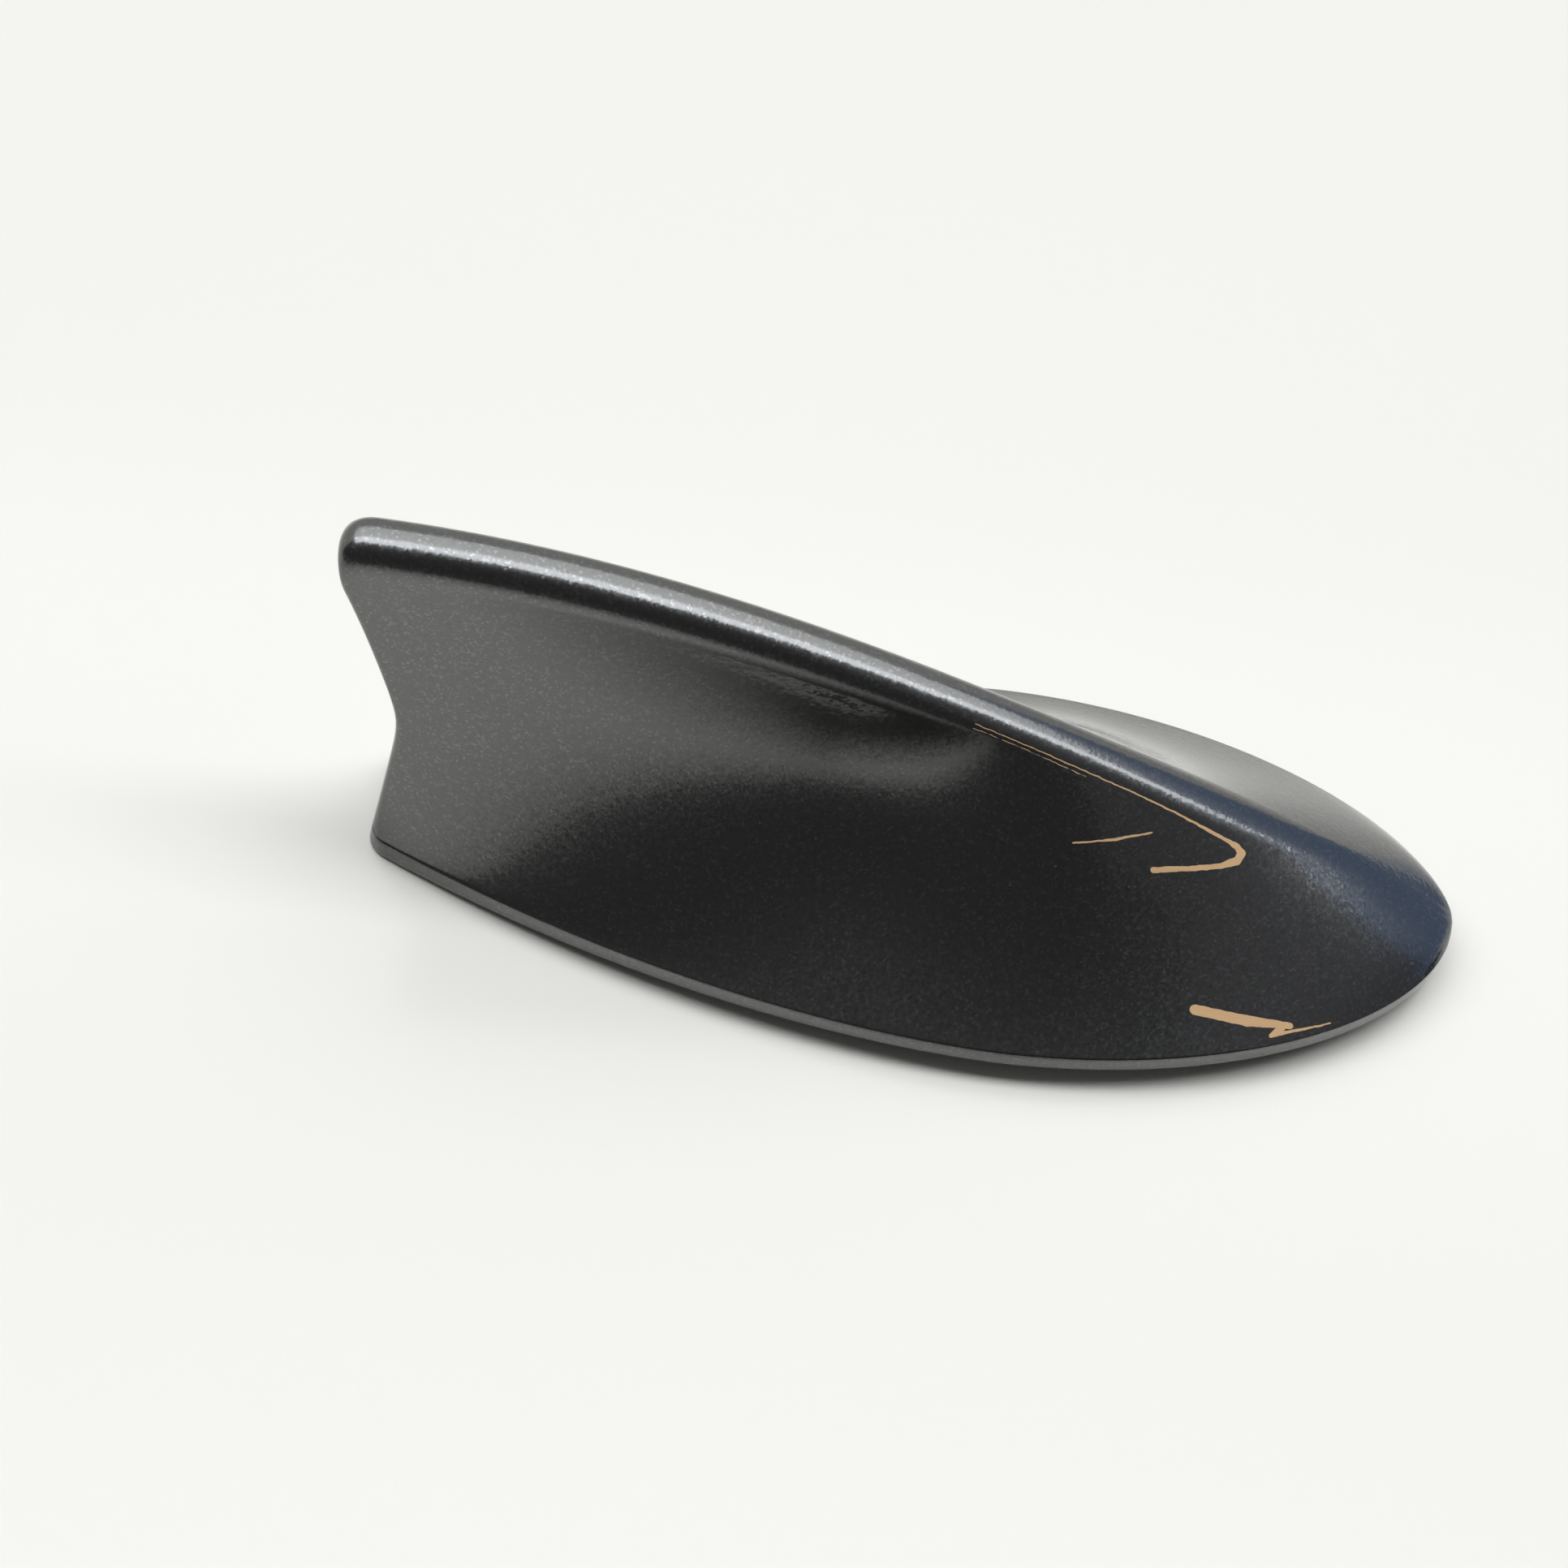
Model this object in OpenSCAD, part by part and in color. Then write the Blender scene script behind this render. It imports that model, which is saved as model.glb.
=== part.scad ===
// Roof fin antenna for a car: a painted hollow fin over a die-cast base with
// its receiving elements, boards, seals and roof fixing.
// Origin: middle of the length, on the plane the base gasket rests on.
// +X runs to the rounded nose, +Z up, lengths in mm.

/* [Cover outline] */
// Overall length of the cover
cover_length = 160; // [158:0.2:162]
// Half width at the widest section
half_width = 32.3; // [31:0.1:34]
// Station of the widest section, ahead of the middle
widest_x = 14.1; // [10:0.1:20]
// Power of the nose curve along the length
nose_power = 1.936; // [1.6:0.002:2.2]
// Root of the nose curve across the width
nose_root = 1.808; // [1.6:0.002:2.2]
// Half width the tail curve runs down to
tail_half = 8.3; // [7:0.1:9]
// Length of the tail curve, which passes the tail
tail_run = 94.1; // [92:0.1:98]
// Power of the tail curve
tail_power = 1.79; // [1.6:0.01:1.9]

/* [Rim] */
// Height of the rim's lower edge at the middle
rim_mid = 2.92; // [2.6:0.02:3.2]
// Rise of the rim's lower edge from the middle to the nose
rim_pitch = 1.34; // [1:0.02:1.6]
// Fall of the rim's lower edge towards both ends
rim_arch = 1.36; // [1:0.02:1.6]
// Height of the upright rim band under the crease
band_height = 3.06; // [2.6:0.02:3.4]
// Loss of band height from the middle to the nose
band_taper = 0.08; // [0:0.02:0.4]
// Small bevel at the crease and at the rim's lower edge
rim_bevel = 0.25; // [0.1:0.05:0.4]

/* [Spine] */
// Height of the spine at the tail
spine_tail = 58.45; // [56:0.01:60]
// Slope term of the spine curve
spine_slope = 5.76; // [4:0.01:7]
// Fall term of the spine curve
spine_fall = 91.76; // [89:0.01:94]
// Recovery term of the spine curve near the nose
spine_ease = 36.47; // [34:0.01:38]
// Station where the nose starts to round over
round_x = 48.6; // [46:0.2:56]
// Power of the nose round-over
round_power = 4.4; // [3:0.1:6]
// Radius of the round bead that forms the spine
bead_radius = 4.26; // [3.8:0.02:4.8]
// Growth of the bead radius as it fades into the nose
bead_growth = 4.6; // [3:0.1:7]
// Station where the bead radius starts to grow
bead_grow_x = 5; // [0:1:20]
// Angle the bead turns through at the tail
bead_turn = 95.5; // [90:0.5:98]
// Loss of that angle by the nose
bead_turn_loss = 52; // [45:1:65]
// Station where the bead angle starts to fall
bead_fade_x = -15; // [-25:1:0]
// Length over which the bead angle falls
bead_fade_run = 40; // [36:1:60]
// Further loss of that angle out to the nose
nose_turn_loss = 40; // [30:1:42]
// Station where that further loss starts
nose_turn_x = 26; // [20:1:40]
// Share of the width that the bead may take up at the nose
nose_fill = 0.8; // [0.6:0.05:0.9]

/* [Flank] */
// Reach of the fillet under the bead, as a share of the flank
fillet_reach = 0.39; // [0.3:0.01:0.45]
// Change of that reach from the middle to the nose
fillet_slope = 0.13; // [0.05:0.01:0.2]
// Second-order change of that reach
fillet_curve = -0.12; // [-0.2:0.01:0]
// Angle of the flank above level where it meets the crease
crease_angle = 33; // [28:1:38]
// Extra crease angle at the tail
crease_tail = 44; // [36:1:52]
// Extra crease angle at the nose
crease_nose = 7.5; // [0:0.5:15]
// Reach of the lower flank, as a share of its width
flare_reach = 0.565; // [0.5:0.005:0.6]

/* [Trailing edge] */
// Slope of the upper part of the trailing edge
upper_rake = 0.237; // [0.2:0.001:0.28]
// Height where that slope starts
upper_start = 55.5; // [53:0.5:58]
// Slope of the lower part of the trailing edge
lower_rake = 0.21; // [0.18:0.005:0.25]
// Forward step of the trailing edge at the table plane
lower_step = 1.8; // [1.4:0.1:2.2]
// Softness of the notch between the two slopes
notch_soft = 0.8; // [0.4:0.05:1.2]
// Length over which the trailing edge shape fades out
shear_run = 59; // [40:1:70]
// Radius of the upper tip corner
tip_radius = 5.2; // [4.5:0.1:6]
// Radius of the upright edges at the tail, along the fin
edge_radius = 1.2; // [0.6:0.1:1.6]
// Extra radius of those edges down at the rim
edge_swell = 1.6; // [0:0.1:2]
// Height over which the extra radius fades
edge_fade = 14; // [8:1:20]
// Distance from the centre line where the full edge radius is reached
edge_blend = 1.5; // [1:0.1:3]

/* [Shell] */
// Wall thickness of the cover
wall = 2.2; // [1.8:0.1:2.4]
// Wall thickness at the nose end
nose_wall = 2.6; // [2.2:0.1:3.2]
// Drop of the inner crease below the outer crease
inner_drop = 0.6; // [0.3:0.1:0.8]
// Least height of the hollow above the inner crease
hollow_min = 0.3; // [0.2:0.1:0.6]
// Station of the front screw bosses
front_boss_x = 50; // [46:1:52]
// Station of the rear screw bosses
rear_boss_x = -52; // [-54:1:-48]
// Offset of the screw bosses from the centre line
boss_y = 12; // [11:0.5:13]
// Radius of a screw boss
boss_radius = 3.1; // [2.8:0.1:3.4]
// Radius of the pilot hole in a screw boss
pilot_radius = 1.5; // [1.4:0.05:1.6]
// Height of the closed end of the pilot hole
pilot_top = 9.4; // [8.5:0.1:10]
// Head radius of a cover screw
screw_head = 2.7; // [2.4:0.1:2.9]
// Thickness of the gusset ribs at the bosses
rib_thick = 1.2; // [0.8:0.1:1.6]
// Length of the gusset ribs towards the flank
rib_reach = 12; // [8:1:14]
// Gap between the ribs' lower edges and the base plate
rib_gap = 0.4; // [0.2:0.1:1]

/* [Base plate] */
// Underside height of the base plate
plate_bottom = 2.4; // [2.2:0.1:2.6]
// Thickness of the base plate
plate_thick = 2; // [1.6:0.1:2.2]
// Inset of the base plate from the cover's outline
plate_inset = 3.3; // [3:0.1:3.6]
// Station of the base plate's tail end
plate_tail_x = -73.5; // [-74:0.5:-72]
// Station of the base plate's nose end
plate_nose_x = 75.2; // [74:0.2:75.6]
// Width of the ledge that carries the edge seal
ledge = 2; // [1.5:0.1:2.4]
// Station of the roof fixing
fixing_x = -8; // [-10:0.5:-6]
// Radius of the raised dome over the roof fixing
dome_radius = 8.4; // [8:0.1:9]
// Top of the raised dome
dome_top = 13.2; // [12.8:0.1:14]
// Radius of the dome's upper edge rounding
dome_edge = 1.5; // [0.5:0.1:2]
// Clearance radius for a cover screw
screw_clear = 1.75; // [1.6:0.05:2]
// Radius of a board pillar
pillar_radius = 2.6; // [2.2:0.1:3]
// Station of the vent hole
vent_x = 64; // [60:0.5:66]
// Radius of the vent hole
vent_bore = 1.5; // [1:0.1:2]
// Radius of the vent's breathing membrane
vent_disc = 3; // [2.5:0.1:3.5]

/* [Roof fixing] */
// Outer radius of the threaded bush
bush_radius = 6; // [5.5:0.1:6.4]
// Lower end of the threaded bush
bush_bottom = 0.6; // [0.4:0.1:1]
// Length of the threaded bush
bush_length = 10; // [9:0.5:10.4]
// Radius of the threaded hole, to the thread crests
thread_radius = 3.4; // [3.3:0.05:3.5]
// Outer radius of the toothed earth washer
washer_radius = 8.6; // [8:0.1:9]
// Thickness of the toothed earth washer
washer_thick = 0.8; // [0.6:0.1:1]
// Number of teeth on the earth washer
washer_teeth = 12; // [8:1:16]
// Inner radius of the foam roof seal
roof_seal_inner = 9.6; // [9.2:0.1:10]
// Outer radius of the foam roof seal
roof_seal_outer = 14; // [12:0.5:15]

/* [Gasket] */
// Inset of the gasket from the cover's outline
gasket_inset = 3.6; // [3.4:0.1:4.5]
// Width of each gasket lip
lip_width = 2.2; // [1.6:0.1:3]
// Gap between the two gasket lips
lip_gap = 2.4; // [1.6:0.1:3]
// Thickness of the web that joins the lips
gasket_web = 1.1; // [0.8:0.1:1.4]
// Side and height of the edge seal between plate and cover
edge_seal = 1; // [0.8:0.1:1.2]
// Inset of the edge seal from the base plate's outline
seal_back = 0.4; // [0.2:0.1:0.8]

/* [Main board] */
// Underside height of the main board
board_bottom = 5.6; // [5.4:0.1:6]
// Thickness of the main board
board_thick = 1.2; // [1:0.1:1.6]
// Station of the board's tail end
board_tail_x = -48; // [-50:0.5:-46]
// Station of the board's nose end
board_nose_x = 45.5; // [44:0.5:46]
// Largest half width of the board
board_half = 17; // [15:0.5:18]
// Distance from the cover's outline to the board's edge
board_inset = 9; // [8:0.5:12]
// Half width of the board at its nose end
board_nose_half = 8; // [6:0.5:8.5]
// Station where the board starts to narrow to the nose
board_taper_x = 36; // [34:0.5:40]

/* [Antenna elements] */
// Station of the satellite patch's middle
patch_x = 22.5; // [22:0.5:24]
// Side of the ceramic patch
patch_side = 25; // [18:0.5:25]
// Height of the ceramic patch
patch_height = 4; // [3:0.5:5]
// Side of the silvered face on the patch
silver_side = 19; // [12:0.5:22]
// Corner cut of the silvered face
silver_cut = 1.8; // [0.5:0.1:3]
// Radius of the patch's feed pin
feed_radius = 0.45; // [0.3:0.05:0.6]
// Station of the radio coil
coil_x = 4.4; // [4:0.1:5]
// Mean radius of the radio coil
coil_radius = 3; // [2.4:0.1:3.2]
// Radius of the coil wire
wire_radius = 0.35; // [0.25:0.05:0.45]
// Number of turns in the coil
coil_turns = 8; // [5:1:9]
// Lower end of the coil winding
coil_low = 9.5; // [9:0.5:11]
// Upper end of the coil winding
coil_high = 26; // [22:0.5:27]
// Gap between the spine's top and the roof-shaped radio plate
load_gap = 3.6; // [3.2:0.1:4.5]
// Thickness of the radio plate
load_thick = 0.4; // [0.3:0.05:0.5]
// Half width of the radio plate
load_half = 1.5; // [1.3:0.05:1.6]
// Depth of the radio plate's side skirts
load_skirt = 5; // [3:0.5:7]
// Station of the radio plate's tail end
load_tail_x = -68; // [-70:0.5:-64]
// Station of the radio plate's nose end
load_nose_x = 8; // [7.5:0.5:9]
// Station of the telephone blade's tail end
blade_tail_x = -64; // [-66:0.5:-60]
// Station of the telephone blade's nose end
blade_nose_x = -24; // [-28:0.5:-20]
// Thickness of the telephone blade
blade_thick = 0.4; // [0.3:0.05:0.5]
// Gap between the spine's top and the telephone blade
blade_gap = 9.6; // [9.2:0.1:11]
// Thickness of the plastic element carrier
carrier_thick = 0.85; // [0.7:0.05:0.9]

/* [Lead sockets] */
// Station of the rear lead socket
socket_x = -38; // [-39:0.5:-36]
// Distance between the two lead sockets
socket_pitch = 9.5; // [9:0.5:10]
// Inner radius of a lead socket
socket_bore = 3.1; // [2.8:0.1:3.4]
// Lower end of the socket block
socket_bottom = 0.8; // [0.6:0.1:1.2]
// Wall around the sockets
socket_wall = 1.3; // [1:0.1:1.6]
// Radius of a contact pin
pin_radius = 0.45; // [0.35:0.05:0.5]

/* [Hidden] */
$fn = 48;
datum = 80;
tail_x = -datum;
nose_x = tail_x + cover_length;
last_nose_angle = 88.5;
nose_blend = 6;
tail_steps = [0, 0.1, 0.4, 0.9, 1.7, 2.8, 4.5, 7];
mid_count = 18;
nose_count = 18;
outer_counts = [6, 11];
inner_counts = [4, 7];
plate_top = plate_bottom + plate_thick;
board_top = board_bottom + board_thick;
ledge_z = plate_top - edge_seal;
dome_bore_top = bush_bottom + bush_length;
hair = 0.02;
crest_pilot = 1.15;
board_screw_spots = [[-44, 9], [-44, -9], [41, 6.5], [41, -6.5]];
cover_screw_spots = [[front_boss_x, boss_y], [front_boss_x, -boss_y],
                     [rear_boss_x, boss_y], [rear_boss_x, -boss_y]];

paint = [0.19, 0.2, 0.21];
rubber = [0.05, 0.05, 0.05];
cast_metal = [0.68, 0.69, 0.7];
steel = [0.74, 0.74, 0.72];
brass = [0.78, 0.62, 0.28];
board_green = [0.07, 0.3, 0.16];
ceramic = [0.82, 0.76, 0.64];
silver = [0.86, 0.86, 0.84];
copper = [0.8, 0.45, 0.25];
plastic = [0.12, 0.12, 0.13];
white_plastic = [0.88, 0.88, 0.85];
chip_black = [0.08, 0.08, 0.09];

function clamp(t) = min(1, max(0, t));
function ease(t) = clamp(t) * clamp(t) * (3 - 2 * clamp(t));
function ratio(x) = x / datum;

// Half width of the crease line at station x
function outline(x) =
    x > widest_x
    ? half_width * pow(max(0, 1 - pow((x - widest_x) / (nose_x - widest_x), nose_power)),
                       1 / nose_root)
    : half_width - (half_width - tail_half) * pow((widest_x - x) / tail_run, tail_power);

function rim_low(x) = rim_mid + rim_pitch * ratio(x) - rim_arch * pow(ratio(x), 2);
function crease(x) = rim_low(x) + band_height - band_taper * ratio(x);

// Height of the spine, with the nose rounded down to the crease
function spine_curve(u) =
    spine_tail + spine_slope * u - spine_fall * u * u + spine_ease * pow(u, 3);
function nose_share(x) =
    sqrt(1 - pow(clamp((x - round_x) / (nose_x - round_x)), round_power));
function spine(x) =
    crease(x) + (spine_curve((x - tail_x) / (2 * datum)) - crease(x)) * nose_share(x);

// Quarter-round drop over the last stretch before an end
function corner_drop(d, r) = d >= r ? 0 : r - sqrt(max(0, d * (2 * r - d)));

// Forward step of the trailing edge at height z
function trailing(z) =
    -notch_soft * ln(exp((z - upper_start) * upper_rake / notch_soft)
                     + exp(-(lower_step + z * lower_rake) / notch_soft));
function shear(x) = pow(1 - clamp((x - tail_x) / shear_run), 2);

function bead_size(x) =
    bead_radius + bead_growth * ease((x - bead_grow_x) / (nose_x - bead_grow_x));

// Smooth lesser of two sizes, so that the bead shrinks into the nose without a kink
function lesser(a, b) = pow(pow(a, -nose_blend) + pow(b, -nose_blend), -1 / nose_blend);
function bead_angle(x) =
    bead_turn - bead_turn_loss * ease((x - bead_fade_x) / bead_fade_run)
    - nose_turn_loss * ease((x - nose_turn_x) / (nose_x - nose_turn_x));
function fillet(x) =
    fillet_reach - fillet_slope * ratio(x) + fillet_curve * pow(ratio(x), 2);
function flare(x) =
    crease_angle + crease_tail * pow(clamp(-ratio(x)), 3)
    + crease_nose * pow(clamp((x - round_x) / (nose_x - round_x)), 2);

function bezier(p, q, r, s, t) =
    pow(1 - t, 3) * p + 3 * pow(1 - t, 2) * t * q + 3 * (1 - t) * t * t * r + pow(t, 3) * s;

// Half section from the top of the bead down to the crease, as [y, z] points.
// It is built for a top height, a crease point and a bead radius.
function half_section(x, top, side, r, counts) =
    let(a = bead_angle(x),
        start = [r * sin(a), top - r + r * cos(a)],
        chord = norm(side - start),
        first = start + fillet(x) * chord * [cos(a), -sin(a)],
        reach = flare_reach * max(0, side[0] - start[0]),
        second = side + reach * [-cos(flare(x)), sin(flare(x))])
    concat([for (i = [0 : counts[0] - 1])
                let(b = a * i / counts[0]) [r * sin(b), top - r + r * cos(b)]],
           [for (i = [0 : counts[1]])
                bezier(start, first, second, side, i / counts[1])]);

// Outer half section, with the tip corner and upright edges rounded at the tail
function outer_half(x) =
    let(d = x - tail_x,
        w = outline(x),
        r = lesser(bead_size(x), nose_fill * w / sin(bead_angle(x))),
        top = spine(x) - corner_drop(d, tip_radius),
        flank = half_section(x, top, [w - rim_bevel, crease(x) + rim_bevel / 2], r,
                             outer_counts),
        edge = concat(flank, [[w, crease(x) - rim_bevel],
                              [w, rim_low(x) + rim_bevel],
                              [w - rim_bevel, rim_low(x)]]))
    [for (p = edge)
        let(swell = edge_swell * clamp(1 - p[1] / edge_fade),
            inset = corner_drop(d, edge_radius + swell))
        [p[0] - inset * clamp(p[0] / edge_blend), p[1]]];

// Inner half section, a depth t inside the outer one
function inner_half(x, t) =
    let(w = outline(x) - t,
        low = crease(x) - inner_drop * t / wall,
        top = max(spine(x) - t, low + hollow_min),
        r = lesser(bead_size(x) - t, nose_fill * w / sin(bead_angle(x))))
    concat(half_section(x, top, [w, low], r, inner_counts), [[w, rim_low(x)]]);

// Full section from one lower edge over the top to the other, sheared at the tail
function full_ring(x, half) =
    let(n = len(half),
        ring = concat([for (i = [n - 1 : -1 : 1]) [-half[i][0], half[i][1]]], half))
    [for (p = ring) [x + shear(x) * trailing(p[1]), p[0], p[1]]];

stations = concat(
    [for (d = tail_steps) tail_x + d],
    [for (i = [1 : mid_count])
        tail_x + tail_steps[len(tail_steps) - 1]
        + (widest_x - tail_x - tail_steps[len(tail_steps) - 1]) * i / mid_count],
    [for (i = [1 : nose_count])
        widest_x + (nose_x - widest_x)
        * pow(sin(last_nose_angle * i / nose_count), 2 / nose_power)]);

// A skin at depth t is shorter than the cover by that depth at each end
function inner_x(x, t) =
    tail_x + t + (x - tail_x) * (cover_length - t - nose_wall * t / wall) / cover_length;
function inner_ring(x, t) = full_ring(inner_x(x, t), inner_half(inner_x(x, t), t));

outer_rings = [for (x = stations) full_ring(x, outer_half(x))];
inner_rings = [for (x = stations) inner_ring(x, wall)];
mid_rings = [for (x = stations) inner_ring(x, wall / 2)];

function flat(lists) = [for (l = lists) for (p = l) p];

// Two triangles for the square between points a, b on one ring and c, d on the next
function pair(a, b, c, d) = [[a, b, d], [a, d, c]];

// Faces of a skin of n rings with m points each, from point index base
function skin(n, m, base, turned) =
    [for (i = [0 : n - 2]) for (j = [0 : m - 2])
        let(a = base + i * m + j, q = pair(a, a + 1, a + m, a + m + 1))
        for (f = q) turned ? [f[2], f[1], f[0]] : f];

// Faces that close one end ring across its width, point j to its mirror point
function end_cap(m, base, turned) =
    let(h = (m - 1) / 2)
    [for (j = [0 : h - 1])
        let(a = base + j, b = base + m - 1 - j,
            q = j == h - 1 ? [[a, a + 1, b]] : pair(a, a + 1, b, b - 1))
        for (f = q) turned ? [f[2], f[1], f[0]] : f];

// Faces of the closed lower face of a solid ring stack
function under_strip(n, m) =
    [for (i = [0 : n - 2])
        let(a = i * m, b = i * m + m - 1, q = pair(b, a, b + m, a + m))
        for (f = q) f];

module solid_fin(rings) {
    n = len(rings);
    m = len(rings[0]);
    polyhedron(points = flat(rings),
               faces = concat(skin(n, m, 0, false),
                              end_cap(m, 0, true),
                              end_cap(m, (n - 1) * m, false),
                              under_strip(n, m)),
               convexity = 6);
}

// The hollow is carried below the rim so that it opens the shell underneath
module hollow_fin() {
    deep = [for (r = inner_rings)
        concat([[r[0][0], r[0][1], -1]], r, [[r[len(r) - 1][0], r[len(r) - 1][1], -1]])];
    solid_fin(deep);
}

// Upright rib plate from one plan point to another, between two heights
module rib(p, q, low, high) {
    hull() {
        translate([p[0], p[1], low]) cylinder(r = rib_thick / 2, h = high - low, $fn = 12);
        translate([q[0], q[1], low]) cylinder(r = rib_thick / 2, h = high - low, $fn = 12);
    }
}

module cover_ribs() {
    for (s = cover_screw_spots) {
        side = s[1] > 0 ? 1 : -1;
        translate([s[0], s[1], plate_top]) cylinder(r = boss_radius, h = spine_tail, $fn = 36);
        rib([s[0], s[1]], [s[0], s[1] + side * rib_reach], plate_top + rib_gap, spine_tail);
    }
    for (side = [-1, 1])
        for (x = [-30, 0, 28])
            rib([x, side * half_width * 2 / 3], [x, side * half_width], plate_top + rib_gap,
                spine_tail);
}

module cover() {
    color(paint) difference() {
        union() {
            difference() {
                solid_fin(outer_rings);
                hollow_fin();
            }
            intersection() {
                solid_fin(mid_rings);
                cover_ribs();
            }
        }
        for (s = cover_screw_spots)
            translate([s[0], s[1], -1]) cylinder(r = pilot_radius, h = pilot_top + 1, $fn = 24);
    }
}

// Plan outline inside the cover, inset by a given distance
function plan(inset, from, to, count) =
    let(xs = [for (i = [0 : count]) from + (to - from) * sin(90 * i / count)],
        up = [for (x = xs) [x, outline(x) - inset]])
    concat(up, [for (i = [count : -1 : 0]) [up[i][0], -up[i][1]]]);

module plate_plan(inset) {
    polygon(plan(plate_inset + inset, plate_tail_x + inset, plate_nose_x - inset, 26));
}

module socket_plan(grow) {
    long = 2 * (socket_bore + socket_wall + grow);
    translate([socket_x - long / 2, -long / 2]) square([long + socket_pitch, long]);
}

module base_plate() {
    color(cast_metal) difference() {
        union() {
            translate([0, 0, plate_bottom]) linear_extrude(ledge_z - plate_bottom) plate_plan(0);
            translate([0, 0, ledge_z]) linear_extrude(edge_seal) plate_plan(ledge);
            translate([fixing_x, 0, 0]) rotate_extrude() polygon([
                [0, plate_bottom], [dome_radius, plate_bottom],
                [dome_radius, dome_top - dome_edge], [dome_radius - dome_edge, dome_top],
                [0, dome_top]]);
            for (s = board_screw_spots)
                translate([s[0], s[1], plate_top])
                    cylinder(r = pillar_radius, h = board_bottom - plate_top);
        }
        translate([fixing_x, 0, 0]) cylinder(r = bush_radius, h = dome_bore_top);
        for (s = board_screw_spots)
            translate([s[0], s[1], plate_bottom + 0.4])
                cylinder(r = crest_pilot, h = board_bottom);
        for (s = cover_screw_spots)
            translate([s[0], s[1], 0]) cylinder(r = screw_clear, h = board_bottom);
        linear_extrude(board_bottom) socket_plan(0.2);
        translate([vent_x, 0, 0]) cylinder(r = vent_bore, h = board_bottom);
    }
}

module cover_edge_seal() {
    color(rubber) translate([0, 0, ledge_z]) linear_extrude(edge_seal) difference() {
        plate_plan(seal_back);
        plate_plan(ledge);
    }
}

module gasket_plan(inset) {
    polygon(plan(inset, plate_tail_x + inset - plate_inset, plate_nose_x - inset + plate_inset, 26));
}

module base_gasket() {
    lip_in = gasket_inset + lip_width;
    second = lip_in + lip_gap;
    color(rubber) {
        difference() {
            union() {
                linear_extrude(plate_bottom) difference() {
                    gasket_plan(gasket_inset);
                    gasket_plan(lip_in);
                }
                linear_extrude(plate_bottom) difference() {
                    gasket_plan(second);
                    gasket_plan(second + lip_width);
                }
                translate([0, 0, plate_bottom - gasket_web]) linear_extrude(gasket_web)
                    difference() {
                        gasket_plan(gasket_inset);
                        gasket_plan(second + lip_width);
                    }
            }
            for (s = cover_screw_spots)
                translate([s[0], s[1], -1]) cylinder(r = screw_head + 0.3, h = plate_bottom + 2);
        }
    }
}

module roof_seal() {
    color(rubber) translate([fixing_x, 0, 0]) difference() {
        cylinder(r = roof_seal_outer, h = plate_bottom);
        translate([0, 0, -1]) cylinder(r = roof_seal_inner, h = plate_bottom + 2);
    }
}

module threaded_bush() {
    color(brass) translate([fixing_x, 0, bush_bottom]) difference() {
        cylinder(r = bush_radius, h = bush_length);
        translate([0, 0, -1]) cylinder(r = thread_radius, h = bush_length + 2);
    }
}

module earth_washer() {
    tooth_low = 0.4;
    top = plate_bottom;
    color(steel) translate([fixing_x, 0, 0]) {
        difference() {
            translate([0, 0, top - washer_thick]) cylinder(r = washer_radius, h = washer_thick);
            cylinder(r = bush_radius + 0.15, h = top + 1);
        }
        for (i = [0 : washer_teeth - 1])
            rotate([0, 0, 360 * i / washer_teeth])
                translate([washer_radius, 0, top - washer_thick])
                    rotate([0, 90, 180])
                        linear_extrude(1)
                            polygon([[-0.1, -0.8], [top - washer_thick - tooth_low, 0], [-0.1, 0.8]]);
    }
}

// Plan of the main board, narrowed ahead of the patch
function board_side(x) =
    min(outline(x) - board_inset, board_half,
        board_half - (board_half - board_nose_half)
        * clamp((x - board_taper_x) / (board_nose_x - board_taper_x)));

module main_board() {
    count = 30;
    xs = [for (i = [0 : count]) board_tail_x + (board_nose_x - board_tail_x) * i / count];
    color(board_green) translate([0, 0, board_bottom]) difference() {
        linear_extrude(board_thick)
            polygon(concat([for (x = xs) [x, board_side(x)]],
                           [for (i = [count : -1 : 0]) [xs[i], -board_side(xs[i])]]));
        translate([fixing_x, 0, -1]) cylinder(r = dome_radius + 0.4, h = board_thick + 2);
        for (s = board_screw_spots)
            translate([s[0], s[1], -1]) cylinder(r = 1.4, h = board_thick + 2);
        for (i = [0, 1])
            translate([socket_x + i * socket_pitch, 0, -1])
                cylinder(r = pin_radius + 0.1, h = board_thick + 2);
        translate([patch_x, 0, -1]) cylinder(r = feed_radius + 0.1, h = board_thick + 2);
    }
}

// Chips and filters: corner x, corner y, length, width, height
chips = [[-40, -15, 7, 7, 0.9], [-31, -14.5, 5, 3.8, 1.3], [-31, -9.5, 3.8, 3.8, 1.1],
         [-24, -14.5, 3.2, 6, 1.2], [-19.5, -12, 2, 2, 1.4], [-24, -7, 3.2, 1.6, 0.8],
         [11, 14, 5, 2, 0.8], [19, 14, 5, 2, 0.8], [27, 14, 5, 2, 0.8], [38.5, -2, 3.8, 3.8, 1.1]];

module board_chips() {
    color(chip_black)
        for (c = chips) translate([c[0], c[1], board_top]) cube([c[2], c[3], c[4]]);
}

module shield_can() {
    corner = [-41, 3.4];
    long = 22;
    wide = 10;
    high = 3.8;
    gauge = 0.35;
    vent = 0.7;
    pitch = 4;
    color(steel) translate([corner[0], corner[1], board_top]) difference() {
        cube([long, wide, high]);
        translate([gauge, gauge, -1]) cube([long - 2 * gauge, wide - 2 * gauge, high + 1 - gauge]);
        for (i = [-1.5 : 1.5])
            for (j = [-0.5, 0.5])
                translate([long / 2 + i * pitch, wide / 2 + j * pitch, 1])
                    cylinder(r = vent, h = high, $fn = 24);
    }
}

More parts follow.
